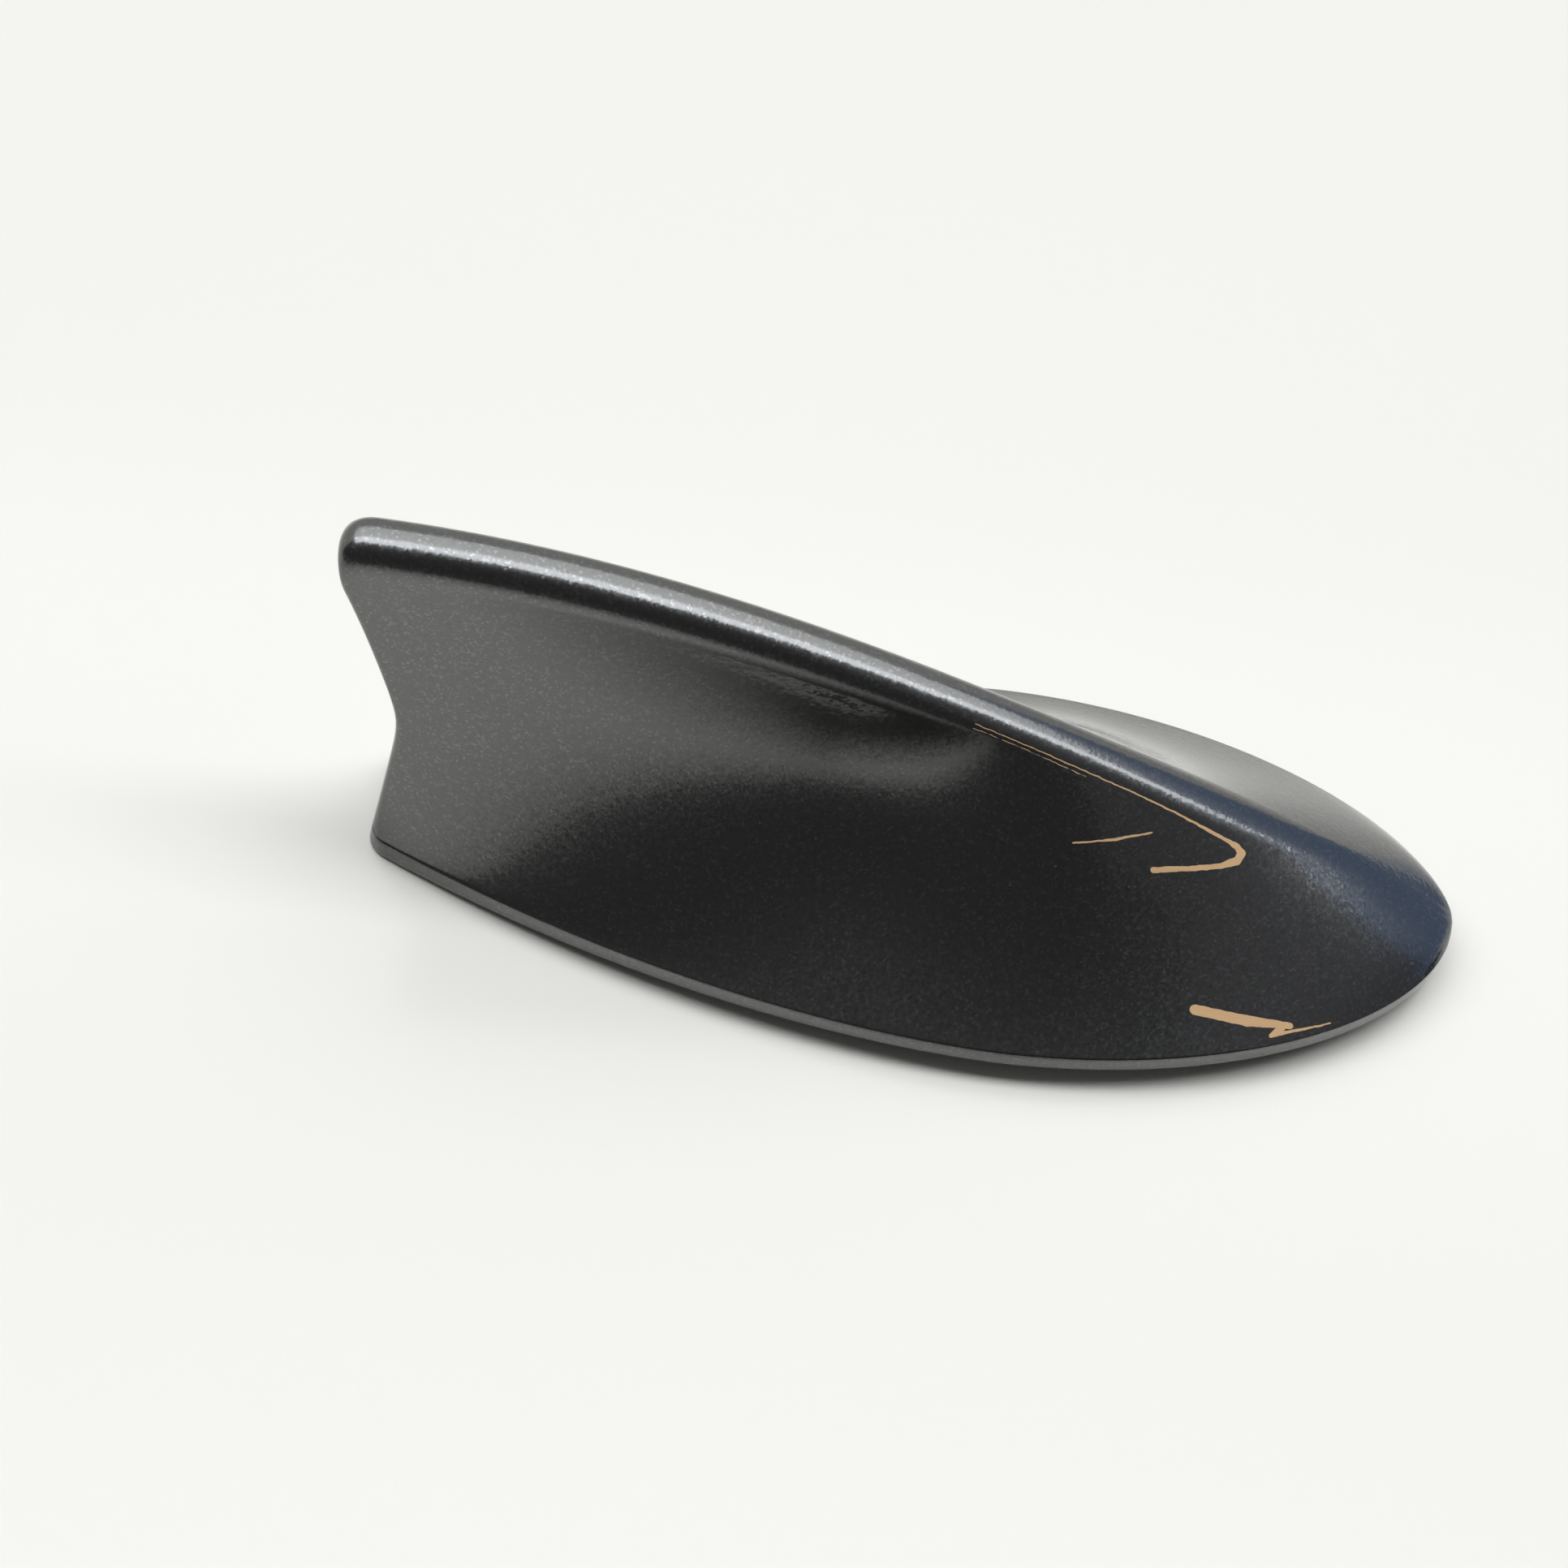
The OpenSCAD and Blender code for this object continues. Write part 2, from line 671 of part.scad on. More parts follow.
module satellite_patch() {
    color(ceramic) translate([patch_x, 0, board_top]) difference() {
        translate([-patch_side / 2, -patch_side / 2, 0]) cube([patch_side, patch_side, patch_height]);
        translate([0, 0, -1]) cylinder(r = feed_radius + 0.1, h = patch_height + 2);
    }
}

module patch_silver() {
    s = silver_side / 2;
    c = silver_cut;
    foil = 0.3;
    color(silver) translate([patch_x, 0, board_top + patch_height]) union() {
        linear_extrude(foil)
            polygon([[-s + c, -s], [s, -s], [s, s - c], [s - c, s], [-s, s], [-s, -s + c]]);
        translate([0, 0, -patch_height - board_thick - 0.5])
            cylinder(r = feed_radius, h = patch_height + board_thick + 0.6);
        translate([0, 0, foil / 2]) cylinder(r = 1.2, h = foil);
    }
}

// Line that follows the spine between two stations, a gap below it
function spine_line(from, to, gap, count) =
    [for (i = [0 : count]) let(x = from + (to - from) * i / count) [x, spine(x) - gap]];

// Side profile between two such lines
function strip(from, to, high, low, count) =
    concat(spine_line(from, to, high, count), spine_line(to, from, low, count));

module upright(y, thick) {
    translate([0, y + thick, 0]) rotate([90, 0, 0]) linear_extrude(thick) children();
}

module radio_plate() {
    color(steel) union() {
        upright(-load_half, 2 * load_half)
            polygon(strip(load_tail_x, load_nose_x, load_gap, load_gap + load_thick, 14));
        for (y = [-load_half, load_half - load_thick])
            upright(y, load_thick)
                polygon(strip(load_tail_x, blade_nose_x, load_gap + load_thick / 2,
                              load_gap + load_skirt, 10));
    }
}

// Centre line of the coil: a lower leg, the turns and an upper leg
coil_steps = 16;
coil_path = concat(
    [[coil_radius, 0, board_top, 0]],
    [for (i = [0 : coil_turns * coil_steps])
        let(a = 360 * i / coil_steps)
        [coil_radius * cos(a), coil_radius * sin(a),
         coil_low + (coil_high - coil_low) * i / (coil_turns * coil_steps), a]],
    [[coil_radius, 0, spine(coil_x + coil_radius + wire_radius) - load_gap - load_thick - hair, 0]]);

module radio_coil() {
    sides = 6;
    n = len(coil_path);
    rings = [for (i = [0 : n - 1])
        let(p = coil_path[i], a = coil_path[max(0, i - 1)], b = coil_path[min(n - 1, i + 1)],
            run = [b[0] - a[0], b[1] - a[1], b[2] - a[2]],
            t = i == 0 || i == n - 1 ? [0, 0, 1] : run / norm(run),
            e = [cos(p[3]), sin(p[3]), 0],
            g0 = cross(t, e),
            g = g0 / norm(g0))
        [for (j = [0 : sides - 1])
            let(c = wire_radius * cos(360 * j / sides), s = wire_radius * sin(360 * j / sides))
            [p[0], p[1], p[2]] + c * e + s * g]];
    color(copper) translate([coil_x, 0, 0]) polyhedron(
        points = flat(rings),
        faces = concat(
            [[for (j = [sides - 1 : -1 : 0]) j]],
            [for (i = [0 : n - 2]) for (j = [0 : sides - 1])
                let(k = (j + 1) % sides, a = i * sides)
                for (f = [[a + j, a + k, a + sides + k], [a + j, a + sides + k, a + sides + j]])
                    [f[0], f[1], f[2]]],
            [[for (j = [0 : sides - 1]) (n - 1) * sides + j]]),
        convexity = 8);
}

module coil_former() {
    r = coil_radius - wire_radius - 0.15;
    color(white_plastic) translate([coil_x, 0, board_top]) rotate_extrude() polygon([
        [r - 1, 0], [r, 0], [r, coil_high - board_top + 1], [r - 0.6, coil_high - board_top + 1.6],
        [0, coil_high - board_top + 1.6], [0, coil_high - board_top], [r - 1, coil_high - board_top]]);
}

// Tuning slots in the telephone blade: station, lower end, length
blade_slots = [[-56, 18, 18], [-52, 13, 18], [-48, 18, 18], [-40, 22, 14], [-36, 16, 14]];

module telephone_blade() {
    low = board_top;
    foot_x = -42;
    foot = 4;
    belly = 3;
    slot = 1.6;
    color(brass) upright(-blade_thick / 2, blade_thick) difference() {
        polygon(concat(spine_line(blade_tail_x, blade_nose_x, blade_gap, 8),
                       [[blade_nose_x, low + 3 * belly], [blade_nose_x - foot, low + belly],
                        [foot_x, low + belly], [foot_x, low],
                        [foot_x - foot, low], [foot_x - foot, low + belly],
                        [blade_tail_x + 2 * foot, low + 2 * foot],
                        [blade_tail_x, low + 4 * foot]]));
        for (s = blade_slots) translate([s[0], s[1]]) square([slot, s[2]]);
    }
}

module element_carrier() {
    y = blade_thick / 2;
    low = board_top;
    tail = -67;
    nose = -13;
    foot_x = [-21, -17.2];
    belly = 4;
    window = [8, 12];
    window_low = 16;
    tab_half = 2;
    tab_play = 0.06;
    color(plastic) union() {
        upright(y, carrier_thick) difference() {
            polygon(concat(spine_line(tail, nose, load_gap + load_skirt + 0.4, 12),
                           [[nose, low + 3 * belly], [foot_x[1], low + belly],
                            [foot_x[1], low], [foot_x[0], low], [foot_x[0], low + belly],
                            [tail + 11, low + belly], [tail, low + 14]]));
            for (x = [-54, -42, -30]) translate([x, window_low]) square(window);
        }
        // Two tabs reach up between the plate's skirts and locate it
        for (x = [-60, -24])
            upright(y, carrier_thick)
                polygon(strip(x - tab_half, x + tab_half, load_gap + load_thick + tab_play,
                              load_gap + load_skirt + 1, 1));
    }
}

module socket_block() {
    color(plastic) difference() {
        translate([0, 0, socket_bottom])
            linear_extrude(board_bottom - hair - socket_bottom) socket_plan(0);
        for (i = [0, 1])
            translate([socket_x + i * socket_pitch, 0, -1]) {
                cylinder(r = socket_bore, h = board_bottom - 1 + 0.4);
                cylinder(r = pin_radius, h = board_bottom + 2);
            }
    }
}

module socket_pins() {
    color(brass)
        for (i = [0, 1])
            translate([socket_x + i * socket_pitch, 0, socket_bottom + 0.8])
                cylinder(r = pin_radius, h = board_top + 0.4 - socket_bottom);
}

// Six-lobed drive recess
module drive(r, depth) {
    linear_extrude(depth)
        polygon([for (i = [0 : 11]) (i % 2 == 0 ? r : r * 0.72) * [cos(30 * i), sin(30 * i)]]);
}

module board_screws() {
    head = 1.6;
    color(steel)
        for (s = board_screw_spots)
            translate([s[0], s[1], board_top]) difference() {
                union() {
                    cylinder(r = 2.1, h = head);
                    translate([0, 0, plate_bottom + 0.8 - board_top])
                        cylinder(r = 1.05, h = board_top - plate_bottom);
                }
                translate([0, 0, head - 0.9]) drive(1.1, 2);
            }
}

module cover_screws() {
    head = 1.5;
    color(steel)
        for (s = cover_screw_spots)
            translate([s[0], s[1], plate_bottom - head]) difference() {
                union() {
                    cylinder(r = screw_head, h = head);
                    cylinder(r = 1.4, h = pilot_top - 0.6 - plate_bottom + head);
                }
                translate([0, 0, -1]) drive(1.4, 1.9);
            }
}

module vent_membrane() {
    color(white_plastic) translate([vent_x, 0, plate_top]) cylinder(r = vent_disc, h = 0.5);
}

cover();
cover_edge_seal();
base_plate();
base_gasket();
roof_seal();
threaded_bush();
earth_washer();
main_board();
board_chips();
shield_can();
satellite_patch();
patch_silver();
radio_plate();
radio_coil();
coil_former();
telephone_blade();
element_carrier();
socket_block();
socket_pins();
board_screws();
cover_screws();
vent_membrane();
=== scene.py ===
import math

import bpy
import numpy as np
from mathutils import Matrix, Vector
from mathutils.bvhtree import BVHTree


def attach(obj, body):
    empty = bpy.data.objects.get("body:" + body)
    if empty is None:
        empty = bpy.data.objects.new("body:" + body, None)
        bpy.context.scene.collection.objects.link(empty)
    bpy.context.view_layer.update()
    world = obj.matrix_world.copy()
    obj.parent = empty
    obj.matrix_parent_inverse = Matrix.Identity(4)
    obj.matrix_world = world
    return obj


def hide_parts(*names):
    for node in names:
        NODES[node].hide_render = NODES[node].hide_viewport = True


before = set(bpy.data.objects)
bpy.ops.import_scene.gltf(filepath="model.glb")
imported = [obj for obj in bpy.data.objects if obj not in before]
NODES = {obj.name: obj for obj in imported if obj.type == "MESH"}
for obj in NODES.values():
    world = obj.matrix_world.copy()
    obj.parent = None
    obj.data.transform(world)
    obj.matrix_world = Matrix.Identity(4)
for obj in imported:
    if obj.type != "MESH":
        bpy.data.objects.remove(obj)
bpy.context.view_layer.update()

MM = 0.001

# The cover's outline and section rules, the same as in the CAD source, in mm
DATUM = 80.0
TAIL_X = -DATUM
NOSE_X = TAIL_X + 160.0
HALF_WIDTH, WIDEST_X = 32.3, 14.1
NOSE_POWER, NOSE_ROOT = 1.936, 1.808
TAIL_HALF, TAIL_RUN, TAIL_POWER = 8.3, 94.1, 1.79
RIM_MID, RIM_PITCH, RIM_ARCH = 2.92, 1.34, 1.36
BAND_HEIGHT, BAND_TAPER, RIM_BEVEL = 3.06, 0.08, 0.25
SPINE_TAIL, SPINE_SLOPE, SPINE_FALL, SPINE_EASE = 58.45, 5.76, 91.76, 36.47
ROUND_X, ROUND_POWER = 48.6, 4.4
BEAD_RADIUS, BEAD_GROWTH, BEAD_GROW_X = 4.26, 4.6, 5.0
BEAD_TURN, BEAD_TURN_LOSS, BEAD_FADE_X, BEAD_FADE_RUN = 95.5, 52.0, -15.0, 40.0
FILLET_REACH, FILLET_SLOPE, FILLET_CURVE = 0.39, 0.13, -0.12
CREASE_ANGLE, CREASE_TAIL, CREASE_NOSE, FLARE_REACH = 33.0, 44.0, 7.5, 0.565
UPPER_RAKE, UPPER_START, LOWER_RAKE, LOWER_STEP, NOTCH_SOFT = 0.237, 55.5, 0.21, 1.8, 0.8
SHEAR_RUN, TIP_RADIUS = 59.0, 5.2
EDGE_RADIUS, EDGE_SWELL, EDGE_FADE, EDGE_BLEND = 1.2, 1.6, 14.0, 1.5
NOSE_FILL, NOSE_BLEND = 0.8, 6
NOSE_TURN_LOSS, NOSE_TURN_X = 40.0, 26.0
WALL, NOSE_WALL, INNER_DROP, HOLLOW_MIN = 2.2, 2.6, 0.6, 0.3
CREASE_DROP = 1.2

# How finely the cover is divided: the bead and flank of a section, its rim band and bevels in
# degrees, and the sections by their distance from the tail, which crowd in the rounded corner
OUTER_STEPS, INNER_STEPS, BAND_STEPS = (16, 44), (6, 14), 5
CREASE_TURN, FOOT_TURN = (30, 60), (30, 60, 90)
TAIL_STATIONS = (0, 0.03, 0.1, 0.2, 0.34, 0.5, 0.7, 0.95, 1.25, 1.6, 2.0, 2.5, 3.1, 3.8, 4.5, 5.4, 6.4)
RUN_START, RUN_STATIONS = 7.4, 100
NOSE_LAST_ANGLE, NOSE_STATIONS = 88.9, 90


def clamp(t):
    return min(1.0, max(0.0, t))


def ease(t):
    c = clamp(t)
    return c * c * (3 - 2 * c)


def outline(x):
    if x > WIDEST_X:
        t = (x - WIDEST_X) / (NOSE_X - WIDEST_X)
        return HALF_WIDTH * max(0.0, 1 - t ** NOSE_POWER) ** (1 / NOSE_ROOT)
    return HALF_WIDTH - (HALF_WIDTH - TAIL_HALF) * ((WIDEST_X - x) / TAIL_RUN) ** TAIL_POWER


def rim_low(x):
    t = x / DATUM
    return RIM_MID + RIM_PITCH * t - RIM_ARCH * t * t


def crease(x):
    return rim_low(x) + BAND_HEIGHT - BAND_TAPER * x / DATUM


def nose_part(x):
    return clamp((x - ROUND_X) / (NOSE_X - ROUND_X))


def spine(x):
    u = (x - TAIL_X) / (2 * DATUM)
    curve = SPINE_TAIL + SPINE_SLOPE * u - SPINE_FALL * u * u + SPINE_EASE * u ** 3
    return crease(x) + (curve - crease(x)) * math.sqrt(1 - nose_part(x) ** ROUND_POWER)


def corner_drop(d, r):
    return 0.0 if d >= r else r - math.sqrt(max(0.0, d * (2 * r - d)))


def trailing(z):
    upper = math.exp((z - UPPER_START) * UPPER_RAKE / NOTCH_SOFT)
    lower = math.exp(-(LOWER_STEP + z * LOWER_RAKE) / NOTCH_SOFT)
    return -NOTCH_SOFT * math.log(upper + lower)


def shear(x):
    return (1 - clamp((x - TAIL_X) / SHEAR_RUN)) ** 2


def bead_size(x):
    return BEAD_RADIUS + BEAD_GROWTH * ease((x - BEAD_GROW_X) / (DATUM - BEAD_GROW_X))


def bead_angle(x):
    return math.radians(BEAD_TURN - BEAD_TURN_LOSS * ease((x - BEAD_FADE_X) / BEAD_FADE_RUN)
                        - NOSE_TURN_LOSS * ease((x - NOSE_TURN_X) / (DATUM - NOSE_TURN_X)))


def lesser(a, b):
    return (a ** -NOSE_BLEND + b ** -NOSE_BLEND) ** (-1 / NOSE_BLEND)


def half_section(x, top, side, r, counts):
    """Points (y, z) from the top of the bead, over the fillet and flank, to the crease."""
    a = bead_angle(x)
    t = x / DATUM
    fillet = FILLET_REACH - FILLET_SLOPE * t + FILLET_CURVE * t * t
    flare = math.radians(CREASE_ANGLE + CREASE_TAIL * clamp(-t) ** 3
                         + CREASE_NOSE * nose_part(x) ** 2)
    p0 = np.array([r * math.sin(a), top - r + r * math.cos(a)])
    p3 = np.array(side)
    p1 = p0 + fillet * np.linalg.norm(p3 - p0) * np.array([math.cos(a), -math.sin(a)])
    reach = FLARE_REACH * max(0.0, p3[0] - p0[0])
    p2 = p3 + reach * np.array([-math.cos(flare), math.sin(flare)])
    b = a * np.arange(counts[0]) / counts[0]
    arc = np.stack([r * np.sin(b), top - r + r * np.cos(b)], 1)
    k = (np.arange(counts[1] + 1) / counts[1])[:, None]
    flank = (1 - k) ** 3 * p0 + 3 * (1 - k) ** 2 * k * p1 + 3 * (1 - k) * k * k * p2 + k ** 3 * p3
    return np.concatenate([arc, flank])


def outer_half(x):
    d, w = x - TAIL_X, outline(x)
    r = lesser(bead_size(x), NOSE_FILL * w / math.sin(bead_angle(x)))
    top = spine(x) - corner_drop(d, TIP_RADIUS)
    bevel = min(RIM_BEVEL, w / 3)
    flank = half_section(x, top, [w - bevel, crease(x) + bevel / 2], r, OUTER_STEPS)
    crease_arc = [[w - bevel + bevel * math.sin(a),
                   crease(x) - bevel * (1 - math.cos(a)) * CREASE_DROP + bevel / 3]
                  for a in np.radians(CREASE_TURN)]
    band = [[w, z] for z in np.linspace(crease(x) - bevel, rim_low(x) + bevel, BAND_STEPS)]
    foot = [[w - bevel + bevel * math.cos(a), rim_low(x) + bevel - bevel * math.sin(a)]
            for a in np.radians(FOOT_TURN)]
    edge = np.concatenate([flank, crease_arc, band, foot])
    for p in edge:
        swell = EDGE_SWELL * clamp(1 - p[1] / EDGE_FADE)
        p[0] -= corner_drop(d, EDGE_RADIUS + swell) * clamp(p[0] / EDGE_BLEND)
    return edge


def inner_half(x):
    w, low = outline(x) - WALL, crease(x) - INNER_DROP
    top = max(spine(x) - WALL, low + HOLLOW_MIN)
    r = lesser(bead_size(x) - WALL, NOSE_FILL * w / math.sin(bead_angle(x)))
    return np.concatenate([half_section(x, top, [w, low], r, INNER_STEPS), [[w, rim_low(x)]]])


def full_ring(x, half):
    ring = np.concatenate([half[:0:-1] * [-1, 1], half])
    return [(x + shear(x) * trailing(z), y, z) for y, z in ring]


def mesh_object(name, verts, faces):
    mesh = bpy.data.meshes.new(name)
    mesh.from_pydata([[c * MM for c in v] for v in verts], [], faces)
    mesh.update()
    mesh.validate()
    mesh.shade_smooth()
    obj = bpy.data.objects.new(name, mesh)
    bpy.context.scene.collection.objects.link(obj)
    return obj


def stations():
    """Section stations, close together at the rounded tail corner and at the nose."""
    run = np.linspace(RUN_START, WIDEST_X - TAIL_X, RUN_STATIONS)
    turn = np.radians(np.linspace(0, NOSE_LAST_ANGLE, NOSE_STATIONS)[1:])
    nose = WIDEST_X + (NOSE_X - WIDEST_X) * np.sin(turn) ** (2 / NOSE_POWER)
    return [TAIL_X + d for d in TAIL_STATIONS] + [TAIL_X + d for d in run] + list(nose)


def cover_mesh():
    """Outer and inner skins, the strips that join them along the rim, and the closed ends."""
    xs = stations()
    hollow = [TAIL_X + WALL + (x - TAIL_X) * (NOSE_X - TAIL_X - WALL - NOSE_WALL)
              / (NOSE_X - TAIL_X) for x in xs]
    outer = [full_ring(x, outer_half(x)) for x in xs]
    inner = [full_ring(x, inner_half(x)) for x in hollow]
    verts = [p for ring in outer for p in ring] + [p for ring in inner for p in ring]
    n, mo, mi = len(xs), len(outer[0]), len(inner[0])
    base = n * mo
    faces = []
    for i in range(n - 1):
        for j in range(mo - 1):
            a = i * mo + j
            faces.append((a, a + mo, a + mo + 1, a + 1))
        for j in range(mi - 1):
            a = base + i * mi + j
            faces.append((a, a + 1, a + mi + 1, a + mi))
        for j, k in ((0, 0), (mo - 1, mi - 1)):
            a, b = i * mo + j, base + i * mi + k
            quad = (a, b, b + mi, a + mo)
            faces.append(quad if j == 0 else quad[::-1])
    for start, m, turned in ((0, mo, False), ((n - 1) * mo, mo, True),
                             (base, mi, True), (base + (n - 1) * mi, mi, False)):
        h = (m - 1) // 2
        for j in range(h):
            a, b = start + j, start + m - 1 - j
            face = (a, a + 1, b) if j == h - 1 else (a, a + 1, b - 1, b)
            faces.append(face[::-1] if turned else face)
    for a, b, turned in ((0, base, False), ((n - 1) * mo, base + (n - 1) * mi, True)):
        quad = (a, a + mo - 1, b + mi - 1, b)
        faces.append(quad[::-1] if turned else quad)
    return verts, faces


# Camera at the photograph's angle: fitted as one pinhole view
FOCAL_PX, PHOTO_PX, SENSOR = 2522.5, 1932, 36.0
AZIMUTH, ELEVATION, ROLL = math.radians(-1.969), math.radians(52.647), math.radians(8.992)
DISTANCE = 288.365 * MM
TARGET = Vector((-19.64, 0, 17.298)) * MM
back = Vector((math.sin(AZIMUTH) * math.cos(ELEVATION), -math.cos(AZIMUTH) * math.cos(ELEVATION),
               math.sin(ELEVATION)))
right = Vector((math.cos(AZIMUTH), math.sin(AZIMUTH), 0))
up = back.cross(right)
right, up = (math.cos(ROLL) * right + math.sin(ROLL) * up,
             -math.sin(ROLL) * right + math.cos(ROLL) * up)
cam_data = bpy.data.cameras.new("camera")
cam_data.sensor_width = SENSOR
cam_data.lens = SENSOR * FOCAL_PX / PHOTO_PX
cam_data.clip_start, cam_data.clip_end = 0.01, 20
camera = bpy.data.objects.new("camera", cam_data)
bpy.context.scene.collection.objects.link(camera)
turn = Matrix((right, up, back)).transposed().to_4x4()
camera.matrix_world = Matrix.Translation(TARGET + back * DISTANCE) @ turn
bpy.context.scene.camera = camera
bpy.context.scene.view_settings.view_transform = "Standard"


def at_pixel(tree, across, down):
    """Where the camera's ray through a pixel of the photograph first meets the cover."""
    ray = (right * (across - PHOTO_PX / 2) - up * (down - PHOTO_PX / 2)) / FOCAL_PX - back
    return tree.ray_cast(camera.matrix_world.translation, ray.normalized())[0]


# Materials: every colour and pattern is procedural
FLAKE_SCALE, FLAKE_TILT = 3200, 0.07
FLAKE_DARK, FLAKE_BRIGHT = (0.113, 0.114, 0.112), (0.19, 0.19, 0.188)
FLAKE_COLOUR, FLAKE_USUAL = (0.128, 0.129, 0.127), 0.8
PAINT_ROUGH, PAINT_TINT = 0.25, (0.4, 0.4, 0.4, 1)
COAT_ROUGH, COAT_IOR = 0.025, 1.5
PEEL_SCALE, PEEL_DETAIL, PEEL_STRENGTH, BUMP_DEPTH = 900, 1, 0.22, 0.0002
CLOUD_SCALE, CLOUD_TONE, CLOUD_GLOSS = 140, 0.14, 0.08
DUST_SCALE, DUST_SIZE, DUST_COVER = 220, 0.035, 0.35
DUST_COLOUR = (0.3, 0.3, 0.28)
MIDDLE = (0.5, 0.5, 0.5)


def shader(name):
    mat = bpy.data.materials.new(name)
    mat.use_nodes = True
    tree = mat.node_tree
    return mat, tree, tree.nodes["Principled BSDF"]


def feed(tree, sockets, values):
    """Sets each socket to its value, or links it where the value is another node's output."""
    for socket, value in zip(sockets, values):
        if isinstance(value, bpy.types.NodeSocket):
            tree.links.new(value, socket)
        else:
            socket.default_value = value


def dress(tree, node, looks):
    """Feeds a node's sockets by their names."""
    feed(tree, [node.inputs[name] for name in looks], looks.values())


def math_node(tree, operation, *values):
    node = tree.nodes.new("ShaderNodeMath")
    node.operation = operation
    feed(tree, node.inputs, values)
    return node.outputs[0]


def clamped(tree, value, low=0.0):
    return math_node(tree, "MINIMUM", 1.0, math_node(tree, "MAXIMUM", low, value))


def vector_node(tree, operation, *values):
    node = tree.nodes.new("ShaderNodeVectorMath")
    node.operation = operation
    second = node.inputs["Scale"] if operation == "SCALE" else node.inputs[1]
    feed(tree, (node.inputs[0], second), values)
    return node.outputs["Value" if operation in ("DOT_PRODUCT", "LENGTH") else "Vector"]


def object_place(tree):
    return tree.nodes.new("ShaderNodeTexCoord").outputs["Object"]


def texture(tree, kind, place, scale):
    node = tree.nodes.new(kind)
    dress(tree, node, {"Vector": place, "Scale": scale})
    return node


def ramp(tree, factor, first, last):
    node = tree.nodes.new("ShaderNodeValToRGB")
    for element, colour in zip(node.color_ramp.elements, (first, last)):
        element.color = (*colour, 1)
    tree.links.new(factor, node.inputs["Fac"])
    return node


def map_range(tree, value, source=(0.0, 1.0), target=(0.0, 1.0), kind="LINEAR"):
    node = tree.nodes.new("ShaderNodeMapRange")
    node.interpolation_type = kind
    dress(tree, node, {"Value": value, "From Min": source[0], "From Max": source[1],
                       "To Min": target[0], "To Max": target[1]})
    return node.outputs["Result"]


def laid_over(tree, factor, under, colour):
    node = tree.nodes.new("ShaderNodeMix")
    node.data_type = "RGBA"
    dress(tree, node, {"Factor": factor, "A": under, "B": (*colour, 1)})
    return node.outputs["Result"]


def bumpy(tree, height, strength):
    node = tree.nodes.new("ShaderNodeBump")
    dress(tree, node, {"Strength": strength, "Distance": BUMP_DEPTH, "Height": height})
    return node.outputs["Normal"]


def shader_mix(tree, factor, *shaders):
    node = tree.nodes.new("ShaderNodeMixShader")
    feed(tree, node.inputs, (factor, *shaders))
    return node.outputs["Shader"]


def plain(name, colour, rough, metal=0.0, grain=0.15, scale=900.0):
    """One substance with a fine grain, whose tone and gloss vary a little."""
    mat, tree, bsdf = shader(name)
    place = object_place(tree)
    fine = texture(tree, "ShaderNodeTexNoise", place, scale).outputs["Fac"]
    cloud = texture(tree, "ShaderNodeTexNoise", place, CLOUD_SCALE).outputs["Fac"]
    dark, light = [[c * level for c in colour] for level in (1 - CLOUD_TONE, 1 + CLOUD_TONE)]
    dress(tree, bsdf, {
        "Base Color": ramp(tree, cloud, dark, light).outputs["Color"],
        "Metallic": metal,
        "Roughness": map_range(tree, cloud, target=(rough - CLOUD_GLOSS, rough + CLOUD_GLOSS)),
        "Normal": bumpy(tree, fine, grain),
    })
    return mat


# Tan marks on the paint, as lines that follow the cover.
# A point is (across, down) as read off the photograph, in its pixels, and a half width in mm.
MARKS = {
    "hook": [(1202, 892, 0.06), (1269, 920, 0.07), (1341, 952, 0.08), (1389, 973, 0.1), (1448, 1001, 0.13),
             (1511, 1035, 0.25), (1524, 1043, 0.45), (1530, 1052, 0.6), (1524, 1061, 0.6),
             (1504, 1067, 0.4), (1470, 1070, 0.35), (1421, 1072, 0.4)],
    "hairline": [(1199, 897, 0.05), (1253, 919, 0.05), (1303, 941, 0.05), (1338, 957, 0.05)],
    "short": [(1322, 1039, 0.12), (1375, 1034, 0.2), (1419, 1026, 0.12)],
    "lower_streak": [(1472, 1244, 0.7), (1537, 1258, 0.75), (1590, 1264, 0.45)],
    "barb": [(1580, 1266, 0.5), (1566, 1276, 0.3), (1639, 1261, 0.1)],
}
MARK_COLOUR, MARK_ROUGH = (0.69, 0.455, 0.245), 0.6
MARK_RAGGED, MARK_GRAIN, MARK_EDGE = 0.3, 900, 0.05


def mark_mask(tree, place, surface):
    """1 on the marks and 0 elsewhere, from the distance to their lines."""
    noise = texture(tree, "ShaderNodeTexNoise", place, MARK_GRAIN)
    lean = vector_node(tree, "SUBTRACT", noise.outputs["Color"], MIDDLE)
    ragged = vector_node(tree, "ADD", place, vector_node(tree, "SCALE", lean, MARK_RAGGED * MM))
    nearest = None
    for line in MARKS.values():
        for start, end in zip(line, line[1:]):
            a, b = at_pixel(surface, *start[:2]), at_pixel(surface, *end[:2])
            from_a = vector_node(tree, "SUBTRACT", ragged, a)
            along = clamped(tree, vector_node(tree, "DOT_PRODUCT", from_a, (b - a) / (b - a).length_squared))
            step = vector_node(tree, "SCALE", tuple(b - a), along)
            away = vector_node(tree, "LENGTH", vector_node(tree, "SUBTRACT", from_a, step))
            half = math_node(tree, "MULTIPLY_ADD", along, (end[2] - start[2]) * MM, start[2] * MM)
            gap = math_node(tree, "SUBTRACT", away, half)
            nearest = gap if nearest is None else math_node(tree, "MINIMUM", nearest, gap)
    edge = math_node(tree, "DIVIDE", nearest, MARK_EDGE * MM)
    return clamped(tree, math_node(tree, "SUBTRACT", 0.5, edge))


